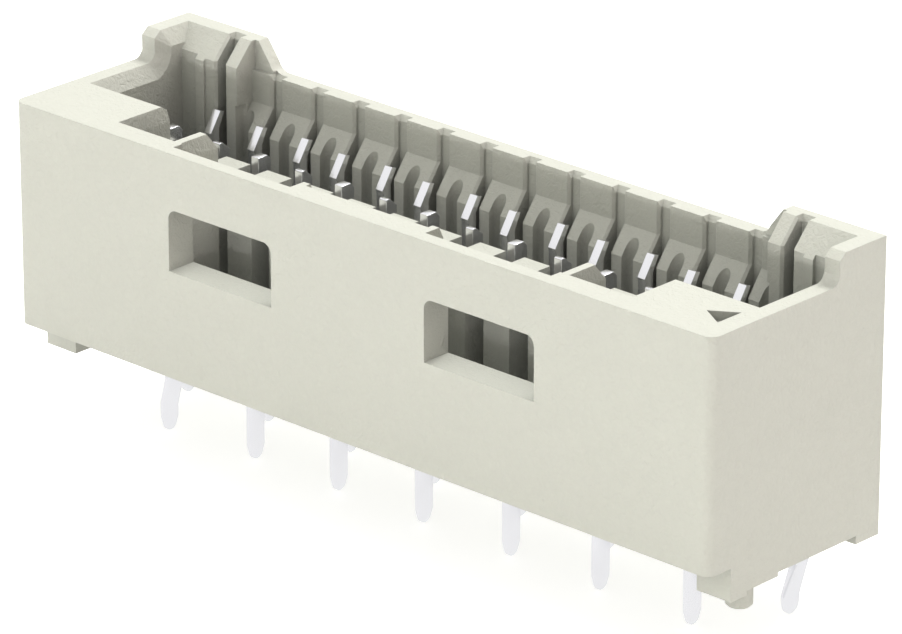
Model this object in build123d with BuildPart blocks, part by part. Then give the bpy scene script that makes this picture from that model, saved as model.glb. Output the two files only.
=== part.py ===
from build123d import *
import os

os.makedirs("parts", exist_ok=True)

# Fourteen-way box header that stands on a circuit board.
# X runs along the row, Y from the latch windows to the rear wall, Z is up.
# The origin is the centre of the plane on which the four standoffs rest.

# Contact row
pitch = 2.5
ways = 14
outer = (ways - 1) * pitch / 2

# Outer body
end_margin = 3.7
end_x = outer + end_margin
length = 2 * end_x
depth = 10.66
rim_z = 11.8
horn_z = 13.14
skirt_z = 1.5
under_z = 0.38
back_y = depth / 2
end_wall = 0.8
inner_x = end_x - end_wall
lead_in = 0.45
lead_in_drop = 0.7

# Standoffs, foot by foot
foot_width = 1.8
foot_x = end_x - foot_width / 2
shelf_z = 0.2

# Front wall with its latch windows
wall_y = -4.12
wall_z = 10.0
sill_y = -3.87
relief_y = -4.67
relief_near = 3.87
relief_far = 10.8
window_near = 4.4
window_far = 10.5
window_low = 6.43
window_high = 9.26
window_r = 0.45

# Cavity and the comb between the contacts; what stands on the floor or a wall starts inside it
floor_z = 3.2
floor_in = floor_z - 0.2
front_in = -4.5
rear_in = back_y - 0.1
open_z = horn_z + 1
comb_front = -1.6
comb_back = 0.9
comb_z = 9.25
comb_slot = 1.05
block_x = outer - 1.65
block_y = -1.15
block_lead = 0.4
rib_width = 0.6
rib_tip = -2.02
rib_lead = 0.57
rib_slope = 0.75
side_lead = 0.11
post_rib = 0.37
post_rib_tip = -3.6

# Rear wall with its contact grooves
rear_y = 4.52
pad_y = 3.7
pad_low = 9.26
pad_high = 10.35
groove = 0.52
groove_edge = 0.12
groove_y = 4.75
groove_rim = 0.72
groove_rim_y = 4.92
groove_rim_drop = 0.25
niche_r = 0.32
niche_y = 3.95

# Raised horns at the two rear corners
corner_x = outer - 1.03
corner_y = 3.55
corner_low = 12.1
corner_back = 4.5
horn_slope = (horn_z - corner_low) / (corner_back - corner_y)
pad_end = outer + 0.92
strip_end = outer + 1.43
strip_y = 3.45
recess_y = 3.62
horn_front = 2.42
horn_foot = 1.9
horn_step = rim_z + 0.4
web_y = 4.72
web_top = 0.2
web_foot = 1.5

# Contacts, stamped from strip that stands in the YZ plane
strip = 0.42
fit_gap = 0.02
tail_width = 0.72
tail_tip = -2.75
front_row_y = -2.0
back_row_y = 1.3
arm_z = 9.78
arm_front = 0.65
arm_width = 0.77
spring_back = 3.68
row_shift = 0.28
base_low = 1.0
base_high = 3.1
end_forward = 0.42
end_lift = 0.2

# Locating peg and board clip beyond the last way
end_way_x = end_x - 1.2
peg_r = 0.57
peg_length = 1.1
peg_root = 0.13
peg_root_low = 0.04
clip_y = 1.95
clip_shoulder = 0.14


def base_span(number):
    """Front and back of the base of a contact, counted from the end without the triangle."""
    if number == 0:
        return arm_front - end_forward, spring_back - end_forward
    if number % 2 == 0:
        return arm_front, spring_back
    return front_row_y - tail_width / 2, spring_back - row_shift


# Space of one contact groove in the wall and in a horn: a chamfered mouth, a slot and a funnel at the top
wall_face = [(pad_y, floor_z), (pad_y, pad_low), (rear_y, pad_high), (rear_y, rim_z)]
horn_face = [(corner_y, floor_z), (corner_y, corner_low), (corner_back, horn_z)]
groove_cuts = []
for top, face in ((rim_z, wall_face), (horn_z, horn_face)):
    with BuildPart() as groove_cut:
        mouth = groove / 2 + groove_edge
        for x, push in ((-mouth, 0), (-groove / 2, groove_edge), (groove / 2, groove_edge), (mouth, 0)):
            outline = [(y + push, z) for y, z in face]
            with BuildSketch(Plane.YZ.offset(x)):
                with BuildLine():
                    Polyline((strip_y - 0.3, top), (strip_y - 0.3, floor_z), *outline, close=True)
                make_face()
        loft(ruled=True)
        with BuildSketch(Plane.XY.offset(floor_z)):
            with Locations((0, (strip_y + groove_y) / 2)):
                Rectangle(groove, groove_y - strip_y)
        extrude(amount=open_z - floor_z)
        for z, width, back in ((top - groove_rim_drop, groove, groove_y), (top, groove_rim, groove_rim_y)):
            with BuildSketch(Plane.XY.offset(z)):
                with Locations((0, (rear_y + back) / 2)):
                    Rectangle(width, back - rear_y)
        loft(ruled=True)
        with BuildSketch(Plane.XY.offset(top)):
            with Locations((0, (rear_y + groove_rim_y) / 2)):
                Rectangle(groove_rim, groove_rim_y - rear_y)
        extrude(amount=open_z - top)
    groove_cuts.append(groove_cut.part)

# Moulded housing
with BuildPart() as housing:
    # Upright box and the lower body that carries the contacts
    with BuildSketch(Plane.XY.offset(skirt_z)):
        Rectangle(length, depth)
    extrude(amount=rim_z - skirt_z)
    fillet(housing.edges().filter_by(Axis.Z).group_by(Axis.Y)[0], 0.5)
    with BuildSketch(Plane.XY.offset(under_z)):
        with Locations((0, (back_y - 3.2) / 2)):
            Rectangle(length, back_y + 3.2)
    extrude(amount=skirt_z + 0.2 - under_z)

    # Four standoffs under the corners
    with BuildSketch(Plane.XY):
        with Locations((foot_x, -3.45), (-foot_x, -3.2)):
            Rectangle(foot_width, 1.0)
        with Locations((foot_x, 4.6), (-foot_x, 4.6)):
            Rectangle(foot_width, 2 * (back_y - 4.6))
    extrude(amount=skirt_z + 0.2)
    with BuildSketch(Plane.XY.offset(shelf_z)):
        with Locations((foot_x, front_row_y), (-foot_x, front_row_y)):
            Rectangle(foot_width, 1.95)
    extrude(amount=under_z + 0.4)

    # Raised horns, whose front edge rises from the rim in a small round
    for near in (-end_x, corner_x):
        with BuildSketch(Plane.YZ.offset(near)):
            with BuildLine():
                Polyline((horn_foot, rim_z), (horn_foot, rim_z - 1), (back_y, rim_z - 1), (back_y, horn_z))
                Polyline((back_y, horn_z), (horn_front + 0.36, horn_z), (horn_front, horn_z - 0.3))
                Line((horn_front, horn_z - 0.3), (horn_front, horn_step))
                ThreePointArc((horn_front, horn_step), (horn_front - 0.14, rim_z + 0.14), (horn_foot, rim_z))
            make_face()
        extrude(amount=end_x - corner_x)

    # Thin webs that run down from the horns to the rear rim
    with BuildSketch(Plane.XZ.offset(-back_y)):
        with BuildLine():
            Polyline((corner_x - web_foot, rim_z), (corner_x - web_foot, rim_z - 1), (corner_x, rim_z - 1))
            Polyline((corner_x, rim_z - 1), (corner_x, horn_z), (corner_x - web_top, horn_z))
            Line((corner_x - web_top, horn_z), (corner_x - 0.88, rim_z + 0.44))
            ThreePointArc(
                (corner_x - 0.88, rim_z + 0.44), (corner_x - 1.12, rim_z + 0.13), (corner_x - web_foot, rim_z)
            )
        make_face()
        mirror(about=Plane.YZ)
    extrude(amount=back_y - web_y)

    # Open cavity between the rear pads and the front wall
    with BuildSketch(Plane.YZ.offset(-corner_x)):
        with BuildLine():
            Polyline((wall_y, open_z), (rear_y, open_z), (rear_y, pad_high), (pad_y, pad_low))
            Polyline((pad_y, pad_low), (pad_y, floor_z), (sill_y, floor_z), (sill_y, wall_z - 0.65))
            Polyline((sill_y, wall_z - 0.65), (wall_y, wall_z), (wall_y, open_z))
        make_face()
    extrude(amount=2 * corner_x, mode=Mode.SUBTRACT)

    # Ends of the cavity, where the rear wall is thicker and slopes back to the top of the horns
    for side in (-1, 1):
        with BuildSketch(Plane.YZ.offset(min(side * corner_x, side * inner_x))):
            with BuildLine():
                Polyline((sill_y, open_z), (corner_back, open_z), (corner_back, horn_z))
                Line((corner_back, horn_z), (recess_y, horn_z - (corner_back - recess_y) * horn_slope))
                Line((recess_y, horn_z - (corner_back - recess_y) * horn_slope), (recess_y, floor_z))
                Polyline((recess_y, floor_z), (sill_y, floor_z), (sill_y, open_z))
            make_face()
        extrude(amount=inner_x - corner_x, mode=Mode.SUBTRACT)

    # Raised pad and guide strip beside each outermost contact
    for near_x, far_x, face_y in ((corner_x, pad_end, corner_y), (pad_end, strip_end, strip_y)):
        face_z = horn_z - (corner_back - face_y) * horn_slope
        for side in (-1, 1):
            with BuildSketch(Plane.YZ.offset(min(side * near_x, side * far_x))):
                with BuildLine():
                    Polyline((rear_in, floor_z), (rear_in, horn_z), (corner_back, horn_z))
                    Polyline((corner_back, horn_z), (face_y, face_z), (face_y, floor_z), (rear_in, floor_z))
                make_face()
            extrude(amount=far_x - near_x)

    # Lead-in down the inner side of each end wall, a fixed step below the rim and the horn
    for side in (-1, 1):
        with BuildSketch(Plane.YZ.offset(side * inner_x)):
            with BuildLine():
                Polyline((horn_foot, rim_z), (front_in, rim_z), (front_in, floor_in), (rear_in, floor_in))
                Polyline((rear_in, floor_in), (rear_in, horn_z), (horn_front + 0.36, horn_z))
                Polyline((horn_front + 0.36, horn_z), (horn_front, horn_z - 0.3), (horn_front, horn_step))
                ThreePointArc((horn_front, horn_step), (horn_front - 0.14, rim_z + 0.14), (horn_foot, rim_z))
            make_face()
        low_z = rim_z - lead_in_drop
        high_z = horn_z - lead_in_drop
        with BuildSketch(Plane.YZ.offset(side * (inner_x - lead_in))):
            with BuildLine():
                Polyline((2.15, low_z), (front_in, low_z), (front_in, floor_in), (rear_in, floor_in))
                Polyline((rear_in, floor_in), (rear_in, high_z), (3.06, high_z), (3.0, high_z - 0.05))
                Line((3.0, high_z - 0.05), (2.98, low_z + 0.95))
                ThreePointArc((2.98, low_z + 0.95), (2.75, low_z + 0.45), (2.15, low_z))
            make_face()
        loft(ruled=True)

    # Solid blocks at both ends of the front wall, drawn in towards their tops
    for side in (-1, 1):
        for z, back, edge in (
            (floor_in, block_y, 0),
            (rim_z - rib_slope, block_y, 0),
            (rim_z - 0.2, block_y - 0.1, 0.7 * side_lead),
            (rim_z, block_y - block_lead, side_lead),
        ):
            with BuildSketch(Plane.XY.offset(z)):
                with Locations((side * (block_x + edge + inner_x) / 2, (back + front_in) / 2)):
                    Rectangle(inner_x - block_x - edge, back - front_in)
        loft(ruled=True)

    # Coding ribs with sloping tips, drawn in towards their tops
    for middle in (-relief_far - rib_width / 2, relief_far + rib_width / 2):
        for z, tip, edge in (
            (floor_in, rib_tip, 0),
            (rim_z - rib_slope, rib_tip, 0),
            (rim_z, rib_tip - rib_lead, side_lead),
        ):
            with BuildSketch(Plane.XY.offset(z)):
                with Locations((middle, (tip + relief_y) / 2)):
                    Rectangle(rib_width - 2 * edge, tip - relief_y)
        loft(ruled=True)
    for near in (-relief_near, relief_near - post_rib):
        with BuildSketch(Plane.YZ.offset(near)):
            with BuildLine():
                Polyline((relief_y, floor_in), (relief_y, rim_z), (post_rib_tip - 0.24, rim_z))
                Line((post_rib_tip - 0.24, rim_z), (post_rib_tip, rim_z - 0.5))
                Polyline((post_rib_tip, rim_z - 0.5), (post_rib_tip, floor_in), (relief_y, floor_in))
            make_face()
        extrude(amount=post_rib)

    # Comb that parts the contacts
    with BuildSketch(Plane.XY.offset(floor_in)):
        with Locations((0, (comb_front + comb_back) / 2)):
            Rectangle(2 * inner_x, comb_back - comb_front)
    extrude(amount=comb_z - floor_in)
    with BuildSketch(Plane.XY.offset(floor_z)):
        with Locations((0, (comb_front + comb_back) / 2)):
            with GridLocations(pitch, 1, ways - 2, 1):
                Rectangle(comb_slot, comb_back - comb_front + 0.2)
        with Locations((-outer, 0), (outer, 0)):
            Rectangle(comb_slot, 2 * comb_back + 0.2)
    extrude(amount=comb_z - floor_in, mode=Mode.SUBTRACT)

    # Latch reliefs behind the thin parts of the rim
    with BuildSketch(Plane.XY.offset(window_high)):
        with Locations(((relief_near + relief_far) / 2, (relief_y + sill_y) / 2)):
            Rectangle(relief_far - relief_near, sill_y - relief_y)
        with Locations((-(relief_near + relief_far) / 2, (relief_y + sill_y) / 2)):
            Rectangle(relief_far - relief_near, sill_y - relief_y)
    extrude(amount=rim_z - window_high + 0.5, mode=Mode.SUBTRACT)

    # Two latch windows with rounded upper corners
    with BuildSketch(Plane.XZ.offset(-sill_y - 0.05)) as windows:
        with Locations(((window_near + window_far) / 2, (window_low + window_high) / 2)):
            Rectangle(window_far - window_near, window_high - window_low)
        with Locations((-(window_near + window_far) / 2, (window_low + window_high) / 2)):
            Rectangle(window_far - window_near, window_high - window_low)
        fillet(windows.vertices().group_by(Axis.Y)[-1], window_r)
    extrude(amount=2.0, mode=Mode.SUBTRACT)

    # Grooves of the rear wall in which the spring arms stand
    with GridLocations(pitch, 1, ways - 2, 1):
        add(groove_cuts[0], mode=Mode.SUBTRACT)
    with Locations((-outer, 0), (outer, 0)):
        add(groove_cuts[1], mode=Mode.SUBTRACT)

    # Half-round niches between the grooves
    with BuildSketch(Plane.XY.offset(floor_z)):
        with Locations((0, niche_y)):
            with GridLocations(pitch, 1, ways - 1, 1):
                Circle(niche_r)
        with Locations((0, niche_y - 0.2)):
            with GridLocations(pitch, 1, ways - 1, 1):
                Rectangle(2 * niche_r, 0.4)
    extrude(amount=pad_high - floor_z, mode=Mode.SUBTRACT)

    # Recessed triangle that marks way one
    with BuildSketch(Plane.XY.offset(rim_z - 0.4)):
        with BuildLine():
            Polyline((end_x - 2.16, -3.19), (end_x - 1, -2.44), (end_x - 1, -3.88), close=True)
        make_face()
    extrude(amount=0.6, mode=Mode.SUBTRACT)

    # Slots through the floor in which the contacts are pressed
    for number in range(ways):
        slot_front, slot_back = base_span(number)
        with BuildSketch(Plane.XY.offset(under_z - 0.1)):
            with Locations((number * pitch - outer, (slot_front + slot_back) / 2)):
                Rectangle(strip + 2 * fit_gap, slot_back - slot_front + 2 * fit_gap)
        extrude(amount=floor_z - under_z + 0.2, mode=Mode.SUBTRACT)

    # Pocket of the board clip
    with BuildSketch(Plane.XY.offset(under_z - 0.1)):
        with Locations((end_way_x, clip_y)):
            Rectangle(strip + 2 * fit_gap, tail_width + 2 * (clip_shoulder + fit_gap))
    extrude(amount=2.6 + fit_gap, mode=Mode.SUBTRACT)

    # Round locating peg, turned about its own axis, with a coned root just above the board
    with BuildSketch(Plane.XZ.offset(-front_row_y)):
        with BuildLine():
            Polyline((end_way_x, under_z), (end_way_x, -peg_length), (end_way_x + peg_r - 0.1, -peg_length))
            Line((end_way_x + peg_r - 0.1, -peg_length), (end_way_x + peg_r, 0.1 - peg_length))
            Line((end_way_x + peg_r, 0.1 - peg_length), (end_way_x + peg_r, peg_root_low))
            Line((end_way_x + peg_r, peg_root_low), (end_way_x + peg_r + peg_root, under_z))
            Line((end_way_x + peg_r + peg_root, under_z), (end_way_x, under_z))
        make_face()
    revolve(axis=Axis((end_way_x, front_row_y, 0), (0, 0, 1)))
housing.part.label = "housing"
export_step(housing.part, "parts/housing.step")

# Fork contacts: a front arm, a sprung rear arm with a lead-in and one tail in either row
for number in range(ways):
    x = number * pitch - outer
    to_rear = number % 2 == 0
    tail_y = back_row_y if to_rear else front_row_y
    base_front, back = base_span(number)
    front = arm_front - end_forward if number == 0 else arm_front
    top = arm_z + end_lift if number == 0 else arm_z
    half = tail_width / 2
    kink = 0.3 if number == 1 else 0
    left = tail_y - kink - half + 0.06
    right = tail_y - kink + half - 0.06
    low = tail_tip + 0.64
    with BuildPart() as contact:
        with BuildSketch(Plane.YZ.offset(x - strip / 2)):
            # Base and spring arm
            with BuildLine():
                Polyline((base_front, base_low), (back, base_low), (back, top - 0.75))
                Polyline((back, top - 0.75), (back + 0.35, top - 0.06), (back + 0.07, top + 0.02))
                Line((back + 0.07, top + 0.02), (back - 0.54, top - 0.92))
                Polyline((back - 0.54, top - 0.92), (back - 0.47, top - 1.09), (back - 0.47, base_high))
                Line((back - 0.47, base_high), (front + arm_width, base_high))
                # Front arm, square in the rear row, sloping and rounded in the front row
                if to_rear:
                    Polyline((front + arm_width, base_high), (front + arm_width, top - 0.22))
                    Polyline((front + arm_width, top - 0.22), (front + arm_width - 0.2, top), (front, top))
                    Line((front, top), (front, base_low))
                else:
                    Line((front + arm_width, base_high), (front + arm_width, top - 0.37))
                    Polyline((front + arm_width, top - 0.37), (front + 0.33, top), (front + 0.21, top))
                    ThreePointArc((front + 0.21, top), (front + 0.15, top - 0.02), (front + 0.13, top - 0.08))
                    Line((front + 0.13, top - 0.08), (front + 0.13, base_high))
                    Polyline((front + 0.13, base_high), (base_front, base_high), (base_front, base_low))
            make_face()
            # Tail with its rounded tip
            with BuildLine():
                Polyline((tail_y - half, 1.2), (tail_y - half, -0.4), (tail_y - half - kink, -1.4))
                Polyline((tail_y - half - kink, -1.4), (tail_y - half - kink, low), (left, low - 0.35))
                ThreePointArc((left, low - 0.35), (tail_y - kink, tail_tip), (right, low - 0.35))
                Polyline((right, low - 0.35), (tail_y + half - kink, low), (tail_y + half - kink, -1.6))
                Polyline((tail_y + half - kink, -1.6), (tail_y + half, -0.6))
                Polyline((tail_y + half, -0.6), (tail_y + half, 1.2), (tail_y - half, 1.2))
            make_face()
        extrude(amount=strip)
    way = ways - number
    contact.part.label = f"contact_{way:02d}"
    export_step(contact.part, f"parts/contact_{way:02d}.step")

# Kinked metal clip that holds the header on the board
clip_front = clip_y - tail_width / 2
clip_back = clip_y + tail_width / 2
toe_y = clip_y - 1.1
heel_y = clip_y - 0.38
with BuildPart() as board_clip:
    with BuildSketch(Plane.YZ.offset(end_way_x - strip / 2)):
        with BuildLine():
            Polyline((clip_front - clip_shoulder, 2.8), (clip_front - clip_shoulder, 1.4), (clip_front, 1.2))
            Polyline((clip_front, 1.2), (clip_front, 0.1), (toe_y, -1.7), (toe_y, -2.1))
            ThreePointArc((toe_y, -2.1), ((toe_y + heel_y) / 2, -2.55), (heel_y, -2.1))
            Polyline((heel_y, -2.1), (heel_y, -1.7), (clip_back, 0.1), (clip_back, 1.2))
            Polyline((clip_back, 1.2), (clip_back + clip_shoulder, 1.4), (clip_back + clip_shoulder, 2.8))
            Line((clip_back + clip_shoulder, 2.8), (clip_front - clip_shoulder, 2.8))
        make_face()
    extrude(amount=strip)
board_clip.part.label = "board_clip"
export_step(board_clip.part, "parts/board_clip.step")
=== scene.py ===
# %% [markdown]
# # A fourteen-way board header
#
# The real thing is a 40 mm long connector that is soldered to a circuit board. It is one
# ivory moulding, fourteen stamped contacts and one metal clip. All true shapes come from
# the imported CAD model, so this script only has to give them their finish, the small edge
# radii that a mould and a press leave, a camera and plain studio light.

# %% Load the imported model
import math

import bpy
from mathutils import Matrix, Vector


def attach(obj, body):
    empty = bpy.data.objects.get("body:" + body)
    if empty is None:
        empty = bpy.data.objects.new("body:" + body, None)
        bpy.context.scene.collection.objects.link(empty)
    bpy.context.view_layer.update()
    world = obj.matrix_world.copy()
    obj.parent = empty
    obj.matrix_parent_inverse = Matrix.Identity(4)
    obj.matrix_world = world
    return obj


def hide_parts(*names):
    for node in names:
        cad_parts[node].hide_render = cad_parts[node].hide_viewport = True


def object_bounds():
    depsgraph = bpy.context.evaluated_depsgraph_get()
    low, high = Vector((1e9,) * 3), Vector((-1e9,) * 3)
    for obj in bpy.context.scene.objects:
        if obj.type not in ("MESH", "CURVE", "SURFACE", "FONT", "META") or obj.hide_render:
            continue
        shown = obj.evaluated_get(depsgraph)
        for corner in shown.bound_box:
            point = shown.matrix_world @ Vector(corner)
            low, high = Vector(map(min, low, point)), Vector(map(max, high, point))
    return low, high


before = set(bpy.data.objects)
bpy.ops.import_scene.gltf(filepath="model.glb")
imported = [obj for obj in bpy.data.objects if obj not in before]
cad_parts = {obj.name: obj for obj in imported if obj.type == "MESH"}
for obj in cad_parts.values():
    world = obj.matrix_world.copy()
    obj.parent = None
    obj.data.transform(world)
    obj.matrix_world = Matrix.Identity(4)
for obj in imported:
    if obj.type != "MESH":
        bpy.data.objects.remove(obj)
cad_box = [list(corner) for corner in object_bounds()]
ivory_node = "housing"
metal_nodes = [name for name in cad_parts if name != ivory_node]
print("loaded", len(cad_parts), "nodes, box", cad_box)

# %% [markdown]
# ## The camera
#
# The reference view looks down 22 degrees from the front left, through a very long lens,
# so the lines of the housing stay almost parallel. The place and turn of the camera were
# worked out from the straight edges of the housing. A camera could also be aimed with a
# Track To constraint, but a fixed matrix keeps the small roll that the view has.

# %% Place the camera
azimuth = math.radians(43.09)
elevation = math.radians(21.986)
roll = math.radians(0.031)
camera_place = Vector((0.165995, -0.176444, 0.103465))
frame_pixels = 902
focal_pixels = 6203.3

backward = Vector((math.sin(azimuth) * math.cos(elevation),
                   -math.cos(azimuth) * math.cos(elevation),
                   math.sin(elevation)))
right = Vector((math.cos(azimuth), math.sin(azimuth), 0.0))
up = backward.cross(right)
right_rolled = math.cos(roll) * right + math.sin(roll) * up
up_rolled = -math.sin(roll) * right + math.cos(roll) * up
turn = Matrix((right_rolled, up_rolled, backward)).transposed().to_4x4()

camera_data = bpy.data.cameras.new("camera")
camera_data.sensor_width = 36.0
camera_data.lens = focal_pixels / frame_pixels * camera_data.sensor_width
camera_data.clip_start = 0.01
camera_data.clip_end = 5.0
camera = bpy.data.objects.new("camera", camera_data)
bpy.context.scene.collection.objects.link(camera)
camera.matrix_world = Matrix.Translation(camera_place) @ turn
bpy.context.scene.camera = camera
bpy.context.scene.view_settings.view_transform = "Standard"
print("camera lens", round(camera_data.lens, 1), "mm at", [round(v, 4) for v in camera_place])

# %% [markdown]
# ## Light and floor
#
# Each side of the housing has its own level: the top is lightest, the long front a step
# darker and the end darker still, while the inside of the cavity falls off quickly. One
# even bright sky would flatten that. So the sky is dim, with a narrow bright band along
# the horizon in front of the long side, like a low strip light: a light that low can't
# look over the rim, and the cavity stays dark. Beyond the end of the housing the sky is
# a little dimmer and pinker. The camera and the mirrored rays of the metal see plain
# white in place of this sky.

# %% Write three helpers for shader nodes


def add_node(tree, kind, values):
    """A new node in a tree, with some of its inputs set by their labels or numbers."""
    node = tree.nodes.new(kind)
    for label, value in values.items():
        node.inputs[label].default_value = value
    return node


def mix_colours(tree, low=None, high=None):
    """A colour mix node. A colour that isn't given is linked later, as its factor is."""
    node = tree.nodes.new("ShaderNodeMix")
    node.data_type = "RGBA"
    for label, colour in (("A", low), ("B", high)):
        if colour:
            node.inputs[label].default_value = (*colour, 1.0)
    return node


def any_ray(tree, labels):
    """An output that is 1 for the kinds of ray that are named and 0 for all others."""
    rays = tree.nodes.new("ShaderNodeLightPath")
    found = rays.outputs[labels[0]]
    for label in labels[1:]:
        either = tree.nodes.new("ShaderNodeMath")
        either.operation = "MAXIMUM"
        tree.links.new(found, either.inputs[0])
        tree.links.new(rays.outputs[label], either.inputs[1])
        found = either.outputs[0]
    return found


print("helpers ready: add_node, mix_colours, any_ray")

# %% Paint the sky
sky_level = 0.7
band_level = 11.2
white = (1.0, 1.0, 1.0)
end_tint = (0.64, 0.56, 0.585)

world = bpy.data.worlds.new("studio")
bpy.context.scene.world = world
world.use_nodes = True
sky = world.node_tree
sky.nodes.clear()
direction = sky.nodes.new("ShaderNodeTexCoord")
axes = sky.nodes.new("ShaderNodeSeparateXYZ")
front_half = add_node(sky, "ShaderNodeMapRange", {
    "From Min": -0.6, "From Max": 0.5, "To Min": band_level, "To Max": sky_level})
band = add_node(sky, "ShaderNodeMapRange", {
    "From Min": 0.02, "From Max": 0.045, "To Max": sky_level})
end_side = add_node(sky, "ShaderNodeMapRange", {"From Min": 0.2, "From Max": 0.85})
tint = mix_colours(sky, white, end_tint)
dim_sky = sky.nodes.new("ShaderNodeBackground")
sky.links.new(direction.outputs["Generated"], axes.inputs[0])
sky.links.new(axes.outputs["Y"], front_half.inputs["Value"])
sky.links.new(axes.outputs["Z"], band.inputs["Value"])
sky.links.new(front_half.outputs["Result"], band.inputs["To Min"])
sky.links.new(band.outputs["Result"], dim_sky.inputs["Strength"])
sky.links.new(axes.outputs["X"], end_side.inputs["Value"])
sky.links.new(end_side.outputs["Result"], tint.inputs["Factor"])
sky.links.new(tint.outputs["Result"], dim_sky.inputs["Color"])
print("sky level", sky_level, "with a front band of", band_level)

# %% Show the camera a white backdrop
white_sky = add_node(sky, "ShaderNodeBackground", {"Color": (*white, 1.0), "Strength": 1.0})
backdrop = sky.nodes.new("ShaderNodeMixShader")
sky_out = sky.nodes.new("ShaderNodeOutputWorld")
seen = any_ray(sky, ("Is Camera Ray", "Is Glossy Ray", "Is Transmission Ray"))
sky.links.new(seen, backdrop.inputs["Fac"])
sky.links.new(dim_sky.outputs[0], backdrop.inputs[1])
sky.links.new(white_sky.outputs[0], backdrop.inputs[2])
sky.links.new(backdrop.outputs[0], sky_out.inputs["Surface"])
print("world", world.name, "with", len(sky.nodes), "nodes")

# %% [markdown]
# One soft lamp, above and behind, lights the tops. Its energy is worked out from its
# distance, so that its level says how bright it makes a white card that faces it.

# %% Hang the lamp
lamp_place = Vector((0.0, 0.21, 0.40))
lamp_aim = Vector((0.0, 0.0, 0.006))
lamp_level = 0.70

lamp_data = bpy.data.lights.new("lamp_above", "AREA")
lamp_data.shape = "SQUARE"
lamp_data.size = 0.18
lamp_distance = (lamp_place - lamp_aim).length
lamp_data.energy = lamp_level * math.pi ** 2 * lamp_distance ** 2
lamp = bpy.data.objects.new("lamp_above", lamp_data)
bpy.context.scene.collection.objects.link(lamp)
lamp.location = lamp_place
lamp.rotation_euler = (lamp_aim - lamp_place).to_track_quat("-Z", "Y").to_euler()
print("lamp at", [round(v, 3) for v in lamp_place], "level", lamp_level)

# %% [markdown]
# The floor lies just under the tips of the tails. It is a plain pale sheet that takes the
# object's shadow. A little light of its own, seen only by the camera, lifts the bare
# floor to the white of the backdrop without throwing more light on the object, and the
# metal mirrors it as that same white.

# %% Lay the floor
floor_gap = 0.0002
floor_lift = 0.6

bpy.ops.object.select_all(action="DESELECT")
bpy.ops.mesh.primitive_plane_add(size=6.0, location=(0.0, 0.0, cad_box[0][2] - floor_gap))
floor = bpy.context.object
floor.name = "floor"
floor_paper = bpy.data.materials.new("floor_paper")
floor_paper.use_nodes = True
tree = floor_paper.node_tree
paper = tree.nodes["Principled BSDF"]
paper.inputs["Base Color"].default_value = (0.9, 0.9, 0.89, 1.0)
paper.inputs["Roughness"].default_value = 0.9
paper.inputs["Emission Color"].default_value = (*white, 1.0)
lift = add_node(tree, "ShaderNodeMath", {1: floor_lift})
lift.operation = "MULTIPLY"
tree.links.new(any_ray(tree, ("Is Camera Ray",)), lift.inputs[0])
tree.links.new(lift.outputs[0], paper.inputs["Emission Strength"])
white_card = add_node(tree, "ShaderNodeEmission", {"Color": (*white, 1.0), "Strength": 1.0})
mirrored = any_ray(tree, ("Is Glossy Ray", "Is Transmission Ray"))
floor_mix = tree.nodes.new("ShaderNodeMixShader")
tree.links.new(mirrored, floor_mix.inputs["Fac"])
tree.links.new(paper.outputs[0], floor_mix.inputs[1])
tree.links.new(white_card.outputs[0], floor_mix.inputs[2])
tree.links.new(floor_mix.outputs[0], tree.nodes["Material Output"].inputs["Surface"])
floor.data.materials.append(floor_paper)
print("floor at", round(floor.location.z * 1000, 2), "mm")

# %% [markdown]
# ## A grain that both finishes share
#
# Both finishes need fine unevenness, so it is a node group that is built once: noise in
# two sizes, read from the piece's own Object coordinates, in metres, so it never slides.
# Height is both sizes added up, and Cloud is the broad one alone.

# %% Build the grain group


def new_group(name, inputs, outputs):
    """An empty shader node group with float inputs and the outputs that are named."""
    group = bpy.data.node_groups.new(name, "ShaderNodeTree")
    for label, value in inputs.items():
        socket = group.interface.new_socket(label, in_out="INPUT", socket_type="NodeSocketFloat")
        socket.default_value = value
    for label, kind in outputs.items():
        group.interface.new_socket(label, in_out="OUTPUT", socket_type=kind)
    return group, group.nodes.new("NodeGroupInput"), group.nodes.new("NodeGroupOutput")


def use_group(tree, group, values):
    """A group placed in a material, with its own values."""
    node = tree.nodes.new("ShaderNodeGroup")
    node.node_tree = group
    for label, value in values.items():
        node.inputs[label].default_value = value
    return node


grain, grain_in, grain_out = new_group(
    "moulded_grain",
    {"Fine Scale": 3400.0, "Broad Scale": 700.0},
    {"Height": "NodeSocketFloat", "Cloud": "NodeSocketFloat"},
)
broad_share = 0.3
place = grain.nodes.new("ShaderNodeTexCoord")
fine = add_node(grain, "ShaderNodeTexNoise", {"Detail": 2.5, "Roughness": 0.6, "Distortion": 1.2})
broad = add_node(grain, "ShaderNodeTexNoise", {"Detail": 2.0})
add_up = add_node(grain, "ShaderNodeMath", {1: broad_share})
add_up.operation = "MULTIPLY_ADD"
grain.links.new(place.outputs["Object"], fine.inputs["Vector"])
grain.links.new(place.outputs["Object"], broad.inputs["Vector"])
grain.links.new(grain_in.outputs["Fine Scale"], fine.inputs["Scale"])
grain.links.new(grain_in.outputs["Broad Scale"], broad.inputs["Scale"])
grain.links.new(broad.outputs["Fac"], add_up.inputs[0])
grain.links.new(fine.outputs["Fac"], add_up.inputs[2])
grain.links.new(add_up.outputs[0], grain_out.inputs["Height"])
grain.links.new(broad.outputs["Fac"], grain_out.inputs["Cloud"])
print("group", grain.name, "with", len(grain.nodes), "nodes")
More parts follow.
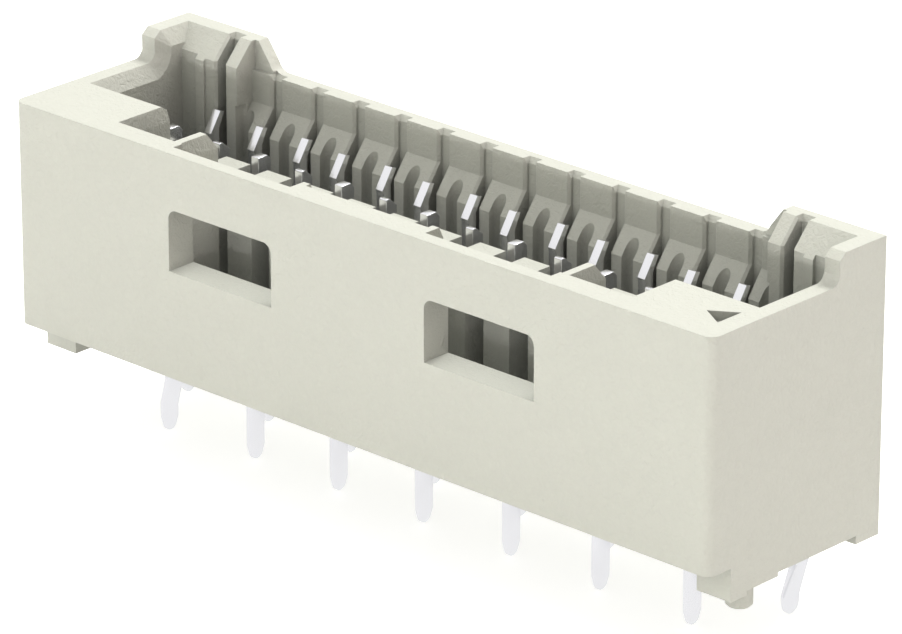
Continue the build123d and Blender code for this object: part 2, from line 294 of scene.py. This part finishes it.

# %% [markdown]
# ## Edges that both finishes share
#
# The second group finds the edges. It compares the true surface normal with the same
# normal rounded over a small radius, and the two differ only beside an edge. Painting an
# edge mask by hand would also work, but it would have to be done again after every
# change of shape. The mask paints a lighter band along the edges: a painted highlight on
# both finishes, and on the tin also the rub of the die.

# %% Build the edge group
edges, edges_in, edges_out = new_group(
    "edge_highlight_and_rub",
    {"Radius": 0.00003, "Spread": 0.25},
    {"Mask": "NodeSocketFloat", "Normal": "NodeSocketVector"},
)
rounded = edges.nodes.new("ShaderNodeBevel")
rounded.samples = 6
true_normal = edges.nodes.new("ShaderNodeNewGeometry")
compare = edges.nodes.new("ShaderNodeVectorMath")
compare.operation = "DOT_PRODUCT"
apart = add_node(edges, "ShaderNodeMath", {0: 1.0})
apart.operation = "SUBTRACT"
sharpen = edges.nodes.new("ShaderNodeMath")
sharpen.operation = "DIVIDE"
sharpen.use_clamp = True
edges.links.new(edges_in.outputs["Radius"], rounded.inputs["Radius"])
edges.links.new(rounded.outputs["Normal"], compare.inputs[0])
edges.links.new(true_normal.outputs["Normal"], compare.inputs[1])
edges.links.new(compare.outputs["Value"], apart.inputs[1])
edges.links.new(apart.outputs[0], sharpen.inputs[0])
edges.links.new(edges_in.outputs["Spread"], sharpen.inputs[1])
edges.links.new(sharpen.outputs[0], edges_out.inputs["Mask"])
edges.links.new(rounded.outputs["Normal"], edges_out.inputs["Normal"])
print("group", edges.name, "with", len(edges.nodes), "nodes")

# %% [markdown]
# ## Ivory moulded plastic
#
# The housing is one shot of glass-filled nylon or polyester in its natural ivory. Seen
# close, its skin is faintly wrinkled, in grains of about 0.3 mm, and the colour drifts a
# little with the flow of the melt. Its edges are painted a touch paler, as a painted
# highlight. A flat colour would look like paper at this distance.

# %% Mix the ivory colour
ivory = bpy.data.materials.new("ivory_moulding")
ivory.use_nodes = True
tree = ivory.node_tree
skin = tree.nodes["Principled BSDF"]
ivory_grain = use_group(tree, grain, {"Fine Scale": 3400.0, "Broad Scale": 700.0})
ivory_edges = use_group(tree, edges, {"Radius": 0.00003})
flow = mix_colours(tree, (0.665, 0.671, 0.576), (0.725, 0.731, 0.631))
# Painted highlight: the edges are mixed toward a paler ivory.
ivory_edge_highlight = mix_colours(tree, high=(0.76, 0.765, 0.68))
tree.links.new(ivory_grain.outputs["Height"], flow.inputs["Factor"])
tree.links.new(flow.outputs["Result"], ivory_edge_highlight.inputs["A"])
tree.links.new(ivory_edges.outputs["Mask"], ivory_edge_highlight.inputs["Factor"])
print("ivory flows between two tones and is paler on its edges")

# %% [markdown]
# Deep in the slots the real plastic looks darker and greyer than this simple sky makes
# it. An Ambient Occlusion node measures how shut in each point is by the housing itself,
# and the colour is deepened there. That is a painter's help and not a property of the
# plastic. Darker lamps would do it more honestly, but they would darken the outside too.

# %% Deepen the recesses and wrinkle the skin
shut_in = add_node(tree, "ShaderNodeAmbientOcclusion", {"Distance": 0.007})
shut_in.samples = 8
shut_in.only_local = True
deep = mix_colours(tree, (0.36, 0.365, 0.335))
tree.links.new(shut_in.outputs["AO"], deep.inputs["Factor"])
tree.links.new(ivory_edge_highlight.outputs["Result"], deep.inputs["B"])
tree.links.new(deep.outputs["Result"], skin.inputs["Base Color"])
dull = add_node(tree, "ShaderNodeMapRange", {"To Min": 0.4, "To Max": 0.54})
tree.links.new(ivory_grain.outputs["Height"], dull.inputs["Value"])
tree.links.new(dull.outputs["Result"], skin.inputs["Roughness"])
skin.inputs["Specular IOR Level"].default_value = 0.5
wrinkles = add_node(tree, "ShaderNodeBump", {"Strength": 0.6, "Distance": 0.000095})
tree.links.new(ivory_grain.outputs["Height"], wrinkles.inputs["Height"])
tree.links.new(ivory_edges.outputs["Normal"], wrinkles.inputs["Normal"])
tree.links.new(wrinkles.outputs["Normal"], skin.inputs["Normal"])
print("material", ivory.name, "with", len(tree.nodes), "nodes")

# %% [markdown]
# ## Tin-plated strip
#
# The contacts and the clip are stamped from rolled copper alloy and plated with tin. The
# plating is a satin metal with faint lines along the strip. Its edges are painted a little
# brighter, partly for the rub of the die and partly as a painted highlight. A perfect
# mirror would break up into black and white patches in pieces this small. Stretched noise
# gives the rolling lines: the Mapping node squeezes it along the strip, so each grain
# becomes a long streak.

# %% Plate the strip with tin
tin = bpy.data.materials.new("tinned_strip")
tin.use_nodes = True
tree = tin.node_tree
plate = tree.nodes["Principled BSDF"]
plate.inputs["Metallic"].default_value = 0.97
tin_grain = use_group(tree, grain, {"Fine Scale": 5000.0, "Broad Scale": 500.0})
tin_edges = use_group(tree, edges, {"Radius": 0.00003})
silver = mix_colours(tree, (0.82, 0.82, 0.84), (0.9, 0.9, 0.92))
# The edges are mixed toward a brighter tin: partly the rub of the die, partly a painted
# highlight.
tin_edge_rub_and_highlight = mix_colours(tree, high=(0.93, 0.93, 0.95))
tree.links.new(tin_grain.outputs["Cloud"], silver.inputs["Factor"])
tree.links.new(silver.outputs["Result"], tin_edge_rub_and_highlight.inputs["A"])
tree.links.new(tin_edges.outputs["Mask"], tin_edge_rub_and_highlight.inputs["Factor"])
tree.links.new(tin_edge_rub_and_highlight.outputs["Result"], plate.inputs["Base Color"])
print("tin is", plate.inputs["Metallic"].default_value, "metallic")

# %% Draw the rolling lines along the strip
place = tree.nodes.new("ShaderNodeTexCoord")
squeeze = add_node(tree, "ShaderNodeMapping", {"Scale": (1.0, 1.0, 0.06)})
lines = add_node(tree, "ShaderNodeTexNoise", {"Scale": 14000.0, "Detail": 2.0})
tree.links.new(place.outputs["Object"], squeeze.inputs["Vector"])
tree.links.new(squeeze.outputs["Vector"], lines.inputs["Vector"])
satin = add_node(tree, "ShaderNodeMapRange", {"To Min": 0.18, "To Max": 0.28})
tree.links.new(lines.outputs["Fac"], satin.inputs["Value"])
tree.links.new(satin.outputs["Result"], plate.inputs["Roughness"])
brush = add_node(tree, "ShaderNodeBump", {"Strength": 0.08, "Distance": 0.000004})
tree.links.new(lines.outputs["Fac"], brush.inputs["Height"])
tree.links.new(brush.outputs["Normal"], plate.inputs["Normal"])
print("material", tin.name, "with", len(tree.nodes), "nodes")

# %% [markdown]
# ## Contacts and clip with the edges that a press leaves
#
# A stamped contact isn't a knife: the die draws its edges over by about 0.02 mm, and that
# thin round is what glints. So each contact is a merged copy of its CAD solid with a
# Bevel modifier on every edge sharper than 40 degrees, then applied. A Weighted Normal
# modifier keeps the flat faces flat in the shading beside the rounds. The copies replace
# the CAD nodes and stay inside their box. The last 0.6 mm of each leg is squeezed thinner
# by the press, so that it finds its hole in the board.

# %% Squeeze the tip of a leg
tip_height = 0.0006
tip_share = 0.45
just_under = 1e-7


def draw_in_tip(piece):
    """Cut the mesh above the tip, then taper the tip's thickness evenly to a share of it."""
    low = min(corner.co.z for corner in piece.data.vertices)
    bpy.ops.mesh.select_all(action="SELECT")
    bpy.ops.mesh.bisect(plane_co=(0.0, 0.0, low + tip_height), plane_no=(0.0, 0.0, 1.0))
    bpy.ops.object.mode_set(mode="OBJECT")
    tip = [v for v in piece.data.vertices if v.co.z < low + tip_height - just_under]
    across = [corner.co.x for corner in tip]
    centre = (min(across) + max(across)) / 2
    for corner in tip:
        depth = (low + tip_height - corner.co.z) / tip_height
        corner.co.x = centre + (corner.co.x - centre) * (1.0 - (1.0 - tip_share) * depth)
    bpy.ops.object.mode_set(mode="EDIT")


print("tips taper over", tip_height * 1000, "mm to", tip_share, "of their thickness")

# %% Round the edges of the metal
edge_round = 0.00002
merge_distance = 0.000002
flat_angle = math.radians(0.5)
sharp_angle = math.radians(40.0)
smooth_angle = math.radians(50.0)


def rounded_copy(node_name):
    """A merged copy of a CAD node with rounded edges, standing for that node."""
    bpy.ops.object.select_all(action="DESELECT")
    piece = bpy.data.objects.new(node_name + "_piece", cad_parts[node_name].data.copy())
    bpy.context.scene.collection.objects.link(piece)
    bpy.context.view_layer.objects.active = piece
    piece.select_set(True)
    bpy.ops.object.mode_set(mode="EDIT")
    bpy.ops.mesh.select_all(action="SELECT")
    bpy.ops.mesh.remove_doubles(threshold=merge_distance)
    bpy.ops.mesh.dissolve_limited(angle_limit=flat_angle)
    draw_in_tip(piece)
    bpy.ops.object.mode_set(mode="OBJECT")
    bevel = piece.modifiers.new("edge_round", "BEVEL")
    bevel.width = edge_round
    bevel.segments = 2
    bevel.limit_method = "ANGLE"
    bevel.angle_limit = sharp_angle
    bevel.use_clamp_overlap = True
    bpy.ops.object.modifier_apply(modifier=bevel.name)
    bpy.ops.object.shade_smooth_by_angle(angle=smooth_angle)
    flat = piece.modifiers.new("flat_faces", "WEIGHTED_NORMAL")
    flat.weight = 100
    flat.keep_sharp = True
    bpy.ops.object.modifier_apply(modifier=flat.name)
    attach(piece, "root")
    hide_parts(node_name)
    return piece


metal_pieces = [rounded_copy(node_name) for node_name in metal_nodes]
for piece in metal_pieces:
    piece.data.materials.clear()
    piece.data.materials.append(tin)
print("rounded", len(metal_pieces), "metal pieces,",
      sum(len(piece.data.polygons) for piece in metal_pieces), "faces")

# %% [markdown]
# ## The housing
#
# Its shape is already true in the CAD solid, so the node itself stays and only takes the
# ivory finish. The edge group rounds its corners in the shading by 0.03 mm, about what a
# cutter and the spark leave in a mould of this size.

# %% Finish the housing
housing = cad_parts[ivory_node]
housing.data.materials.clear()
housing.data.materials.append(ivory)
print("housing finished,", len(housing.data.polygons), "faces")
